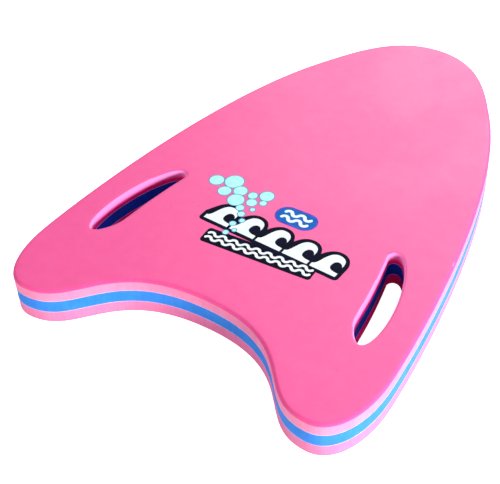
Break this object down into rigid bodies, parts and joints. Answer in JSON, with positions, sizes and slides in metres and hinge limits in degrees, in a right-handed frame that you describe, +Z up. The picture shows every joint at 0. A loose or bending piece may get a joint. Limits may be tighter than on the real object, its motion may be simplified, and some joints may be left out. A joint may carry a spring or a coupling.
{
  "type": "kickboard float",
  "caption": "Flat foam swimming kickboard with a rounded nose, a notched tail with two lobes, and a hand slot near each side.",
  "frame": {"origin": "on the underside, below the middle of the board's length and width", "axes": "+Y to the nose, +X to the swimmer's right, +Z up through the printed face"},
  "size_m": [0.312, 0.45, 0.0331],
  "materials": {
    "foam_top": "closed-cell EVA foam, deep pink, soft matte skin",
    "foam_middle": "closed-cell EVA foam, azure, knife-cut edge",
    "foam_bottom": "closed-cell EVA foam, light pink, soft matte skin",
    "bond": "clear heat-laminated adhesive film",
    "ink_dark": "satin heat-transfer ink, near black",
    "ink_white": "satin heat-transfer ink, white",
    "ink_aqua": "satin heat-transfer ink, pale aqua",
    "ink_teal": "satin heat-transfer ink, blue teal",
    "ink_blue": "satin heat-transfer ink, mid blue",
    "ink_violet": "satin heat-transfer ink, violet blue"
  },
  "bodies": {
    "root": {"bottom_sheet": "foam_bottom", "lower_bond_film": "bond", "middle_sheet": "foam_middle", "upper_bond_film": "bond", "top_sheet": "foam_top", "print_backing": "ink_dark", "print_waves": "ink_white", "print_ripples": "ink_white", "print_bubbles": "ink_aqua", "print_bubble_rims": "ink_teal", "badge_rim": "ink_violet", "badge_field": "ink_blue", "badge_water_lines": "ink_white"}
  },
  "joints": []
}
